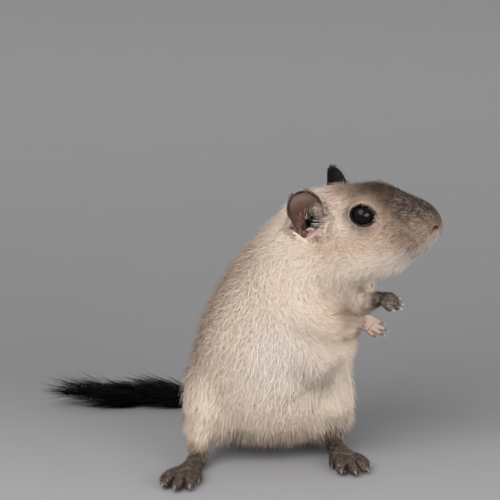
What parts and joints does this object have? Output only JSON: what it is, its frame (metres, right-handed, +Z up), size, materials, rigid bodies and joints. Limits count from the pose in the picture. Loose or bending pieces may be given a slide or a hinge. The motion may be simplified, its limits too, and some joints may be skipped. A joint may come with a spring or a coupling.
{
  "type": "gerbil",
  "caption": "Still, life-size gerbil standing up on its hind feet with its forepaws held out, its head turned aside and its furred tail lying behind it.",
  "frame": {"origin": "centre of the bounding box at the floor the feet and tail rest on", "axes": "+Z up; +X to the side the head looks towards, with the tail lying out to -X; -Y to the side the belly faces"},
  "size_m": [0.1128, 0.0861, 0.0786],
  "materials": {
    "coat": "short dense cream-beige fur with darker tips on the back and face",
    "tail_coat": "longer near-black hair in tapered locks",
    "paw": "dark brown short hair over skin, with pale claws",
    "ear_skin": "thin taupe skin with fine dark hair",
    "eye": "wet glossy black"
  },
  "bodies": {
    "root": {"head": "coat", "ear_right": "ear_skin", "ear_left": "ear_skin", "eye_right": "eye", "eye_left": "eye", "neck": "coat", "torso": "coat", "arm_right": "coat", "arm_left": "coat", "hand_right": "paw", "hand_left": "paw", "thigh_right": "coat", "thigh_left": "coat", "shank_right": "coat", "shank_left": "coat", "foot_right": "paw", "foot_left": "paw", "tail_root": "tail_coat", "tail_bend": "tail_coat", "tail_middle": "tail_coat", "tail_tip": "tail_coat"}
  },
  "joints": []
}
